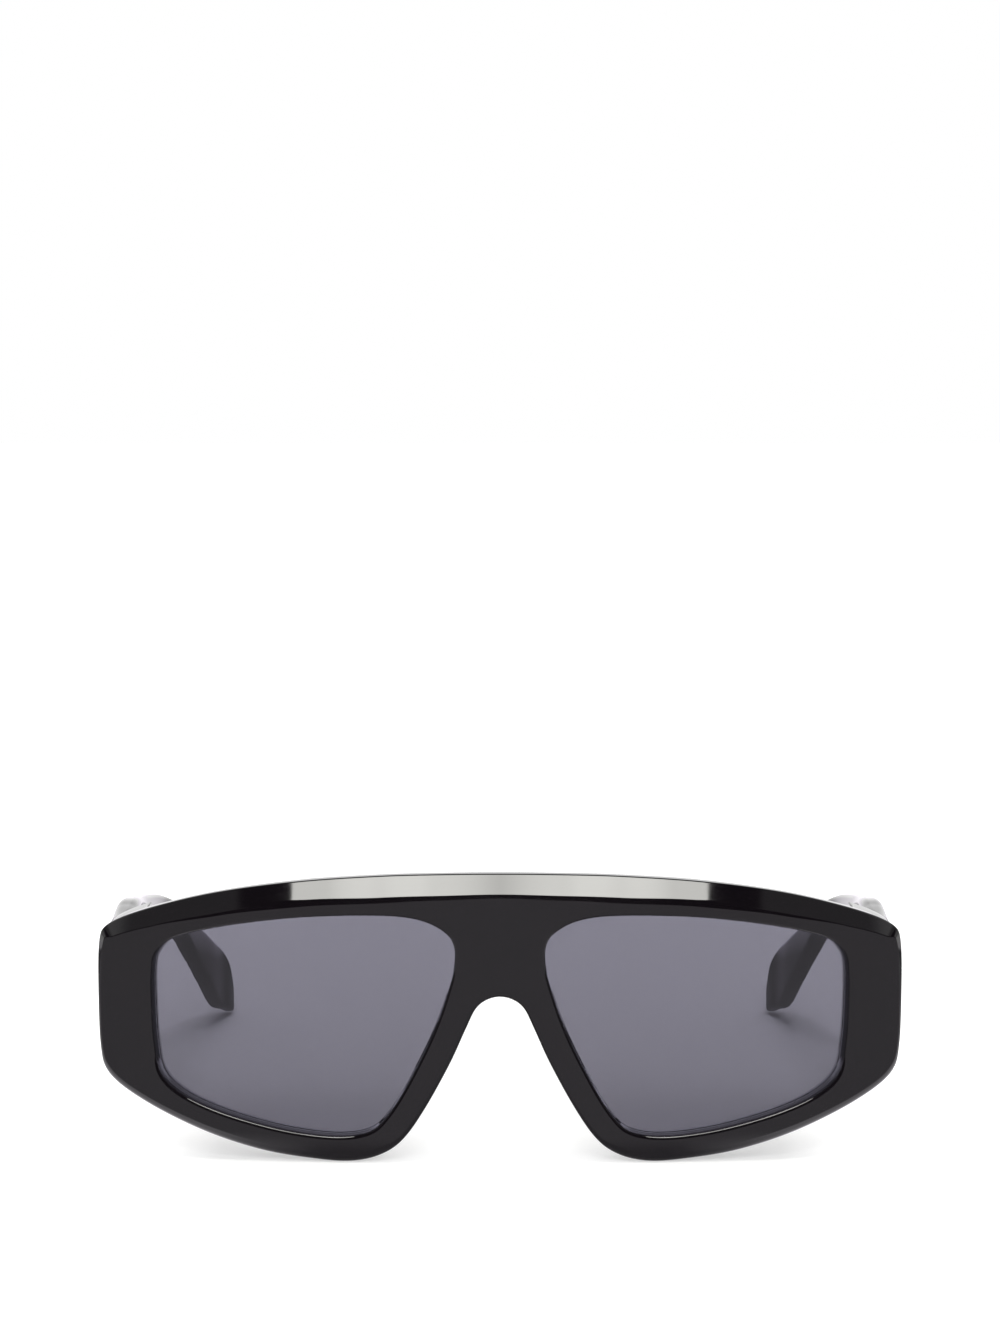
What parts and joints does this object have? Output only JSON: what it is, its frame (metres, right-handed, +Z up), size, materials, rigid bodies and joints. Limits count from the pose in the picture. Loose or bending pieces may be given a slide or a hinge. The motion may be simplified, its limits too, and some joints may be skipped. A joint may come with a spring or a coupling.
{
  "type": "mask sunglasses",
  "caption": "Chunky flat-top mask sunglasses with a bevelled brow, a curved front, tinted lenses and temples that fold on barrel hinges.",
  "frame": {"origin": "on the surface that the glasses stand on, midway between the two sides and midway from the face to the temple tips", "axes": "+Z up, -Y where the lenses look, +Y along the open temples, +X the wearer's left side"},
  "size_m": [0.1442, 0.1476, 0.0517],
  "materials": {
    "acetate": "polished black cellulose acetate",
    "lens": "smooth grey tinted lens",
    "hinge": "nickel silver, lightly brushed",
    "screw": "stainless steel",
    "wire": "drawn nickel silver"
  },
  "bodies": {
    "front_frame": {"front": "acetate", "left_lens": "lens", "right_lens": "lens", "left_nose_pad": "acetate", "right_nose_pad": "acetate", "left_front_hinge": "hinge", "right_front_hinge": "hinge", "left_hinge_screw": "screw", "right_hinge_screw": "screw"},
    "left_side": {"left_temple": "acetate", "left_temple_hinge": "hinge", "left_core_wire": "wire"},
    "right_side": {"right_temple": "acetate", "right_temple_hinge": "hinge", "right_core_wire": "wire"}
  },
  "joints": [
    {"name": "left_fold", "type": "hinge", "parent": "front_frame", "child": "left_side", "pos_m": [0.06539, -0.05462, 0.03697], "axis": [0, 0, 1], "range_deg": [0, 86]},
    {"name": "right_fold", "type": "hinge", "parent": "front_frame", "child": "right_side", "pos_m": [-0.06539, -0.05462, 0.03697], "axis": [0, 0, -1], "range_deg": [0, 80]}
  ]
}
